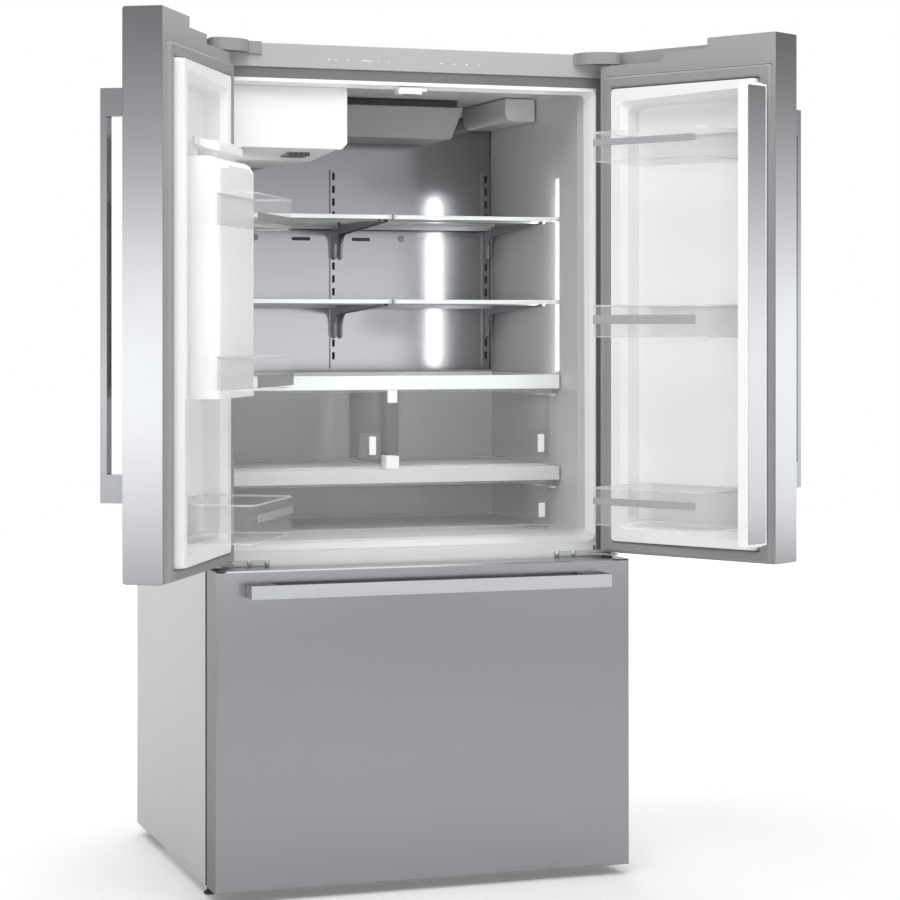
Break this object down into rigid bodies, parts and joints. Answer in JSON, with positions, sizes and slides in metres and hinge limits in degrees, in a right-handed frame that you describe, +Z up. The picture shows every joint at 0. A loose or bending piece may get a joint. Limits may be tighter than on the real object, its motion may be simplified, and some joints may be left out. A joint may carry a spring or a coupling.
{
  "type": "french door refrigerator",
  "caption": "Tall refrigerator with two hinged fridge doors over a freezer drawer, shelves, crispers, door bins, ice maker and door dispenser.",
  "frame": {"origin": "on the floor, at the middle of the whole object's width and depth with the doors at rest, which is standing open", "axes": "+Z up, +X to the right as seen from the front, +Y from the front to the back"},
  "size_m": [1.47, 1.171, 1.7723],
  "materials": {
    "stainless": "horizontally brushed, satin",
    "stainless_wall": "horizontally brushed, satin",
    "case_paint": "smooth grey enamel",
    "white_liner": "white, soft gloss",
    "white_plastic": "white, soft gloss",
    "clear_plastic": "clear, moulded",
    "shelf_glass": "clear, tempered",
    "dark_steel": "grey powder coat",
    "grey_plastic": "satin grey",
    "light_grey_plastic": "satin light grey",
    "gasket_rubber": "matte grey",
    "black_paint": "black enamel",
    "black_plastic": "matte black",
    "zinc_steel": "zinc plated",
    "foam": "rigid foam"
  },
  "bodies": {
    "case": {"cabinet_shell": "case_paint", "cabinet_insulation": "foam", "fresh_food_liner": "white_liner", "freezer_liner": "white_liner", "centre_rail": "case_paint", "roller_beam": "black_paint", "rear_panel": "zinc_steel", "control_header": "case_paint", "hinge_cover_left": "grey_plastic", "hinge_cover_right": "grey_plastic", "top_hinge_left": "zinc_steel", "top_hinge_right": "zinc_steel", "middle_hinge_left": "zinc_steel", "middle_hinge_right": "zinc_steel", "levelling_foot_left": "black_plastic", "levelling_foot_right": "black_plastic", "back_wall_panel": "stainless_wall", "shelf_bracket_upper_left": "dark_steel", "shelf_bracket_upper_right": "dark_steel", "shelf_bracket_lower_left": "dark_steel", "shelf_bracket_lower_right": "dark_steel", "shelf_glass_upper_left": "shelf_glass", "shelf_glass_upper_right": "shelf_glass", "shelf_glass_lower_left": "shelf_glass", "shelf_glass_lower_right": "shelf_glass", "crisper_cover": "white_plastic", "crisper_cover_glass": "shelf_glass", "deli_cover": "white_plastic", "ice_maker_housing": "white_plastic", "air_duct": "light_grey_plastic", "filter_housing": "light_grey_plastic", "compressor": "black_paint"},
    "rear_roller_left": {"rear_roller_left": "black_plastic"},
    "rear_roller_right": {"rear_roller_right": "black_plastic"},
    "ice_bin": {"ice_bin": "white_plastic"},
    "crisper_left": {"crisper_left": "clear_plastic"},
    "crisper_right": {"crisper_right": "clear_plastic"},
    "deli_drawer": {"deli_drawer": "clear_plastic"},
    "left_door": {"left_door_shell": "stainless", "left_door_liner": "white_liner", "left_door_gasket": "gasket_rubber", "left_door_handle": "stainless", "left_bin_upper": "clear_plastic", "left_bin_middle": "clear_plastic", "left_bin_lower": "clear_plastic", "dispenser_column": "white_plastic", "dispenser_recess": "grey_plastic"},
    "dispenser_paddle": {"dispenser_paddle": "black_plastic"},
    "right_door": {"right_door_shell": "stainless", "right_door_liner": "white_liner", "right_door_gasket": "gasket_rubber", "right_door_handle": "stainless", "right_bin_upper": "clear_plastic", "right_bin_middle": "clear_plastic", "right_bin_lower": "clear_plastic"},
    "mullion_flap": {"mullion_flap": "white_plastic"},
    "freezer_drawer": {"freezer_front": "stainless", "freezer_handle": "stainless", "freezer_basket": "white_plastic"},
    "freezer_tray": {"freezer_tray": "clear_plastic"}
  },
  "joints": [
    {"name": "left_door_hinge", "type": "hinge", "parent": "case", "child": "left_door", "pos_m": [-0.4377, -0.14525, 1.23], "axis": [0, 0, -1], "range_deg": [-120, 0]},
    {"name": "right_door_hinge", "type": "hinge", "parent": "case", "child": "right_door", "pos_m": [0.4377, -0.14525, 1.23], "axis": [0, 0, 1], "range_deg": [-120, 0]},
    {"name": "mullion_flap_hinge", "type": "hinge", "parent": "right_door", "child": "mullion_flap", "pos_m": [0.58882, -0.5331, 1.1955], "axis": [0, 0, -1], "range_deg": [-90, 0]},
    {"name": "dispenser_paddle_hinge", "type": "hinge", "parent": "left_door", "child": "dispenser_paddle", "pos_m": [-0.51439, -0.34369, 1.404], "axis": [-0.5, -0.866, 0], "range_deg": [0, 8], "stiffness_Nm_per_rad": 0.6},
    {"name": "freezer_drawer_slide", "type": "slide", "parent": "case", "child": "freezer_drawer", "axis": [0, -1, 0], "range_m": [0, 0.45]},
    {"name": "freezer_tray_slide", "type": "slide", "parent": "freezer_drawer", "child": "freezer_tray", "axis": [0, 1, 0], "range_m": [0, 0.12]},
    {"name": "crisper_left_slide", "type": "slide", "parent": "case", "child": "crisper_left", "axis": [0, -1, 0], "range_m": [0, 0.3]},
    {"name": "crisper_right_slide", "type": "slide", "parent": "case", "child": "crisper_right", "axis": [0, -1, 0], "range_m": [0, 0.3]},
    {"name": "deli_drawer_slide", "type": "slide", "parent": "case", "child": "deli_drawer", "axis": [0, -1, 0], "range_m": [0, 0.3]},
    {"name": "ice_bin_slide", "type": "slide", "parent": "case", "child": "ice_bin", "axis": [0, -1, 0], "range_m": [0, 0.25]},
    {"name": "rear_roller_left_spin", "type": "hinge", "parent": "case", "child": "rear_roller_left", "pos_m": [-0.4, 0.47955, 0.016], "axis": [1, 0, 0], "continuous": true},
    {"name": "rear_roller_right_spin", "type": "hinge", "parent": "case", "child": "rear_roller_right", "pos_m": [0.4, 0.47955, 0.016], "axis": [1, 0, 0], "continuous": true}
  ]
}
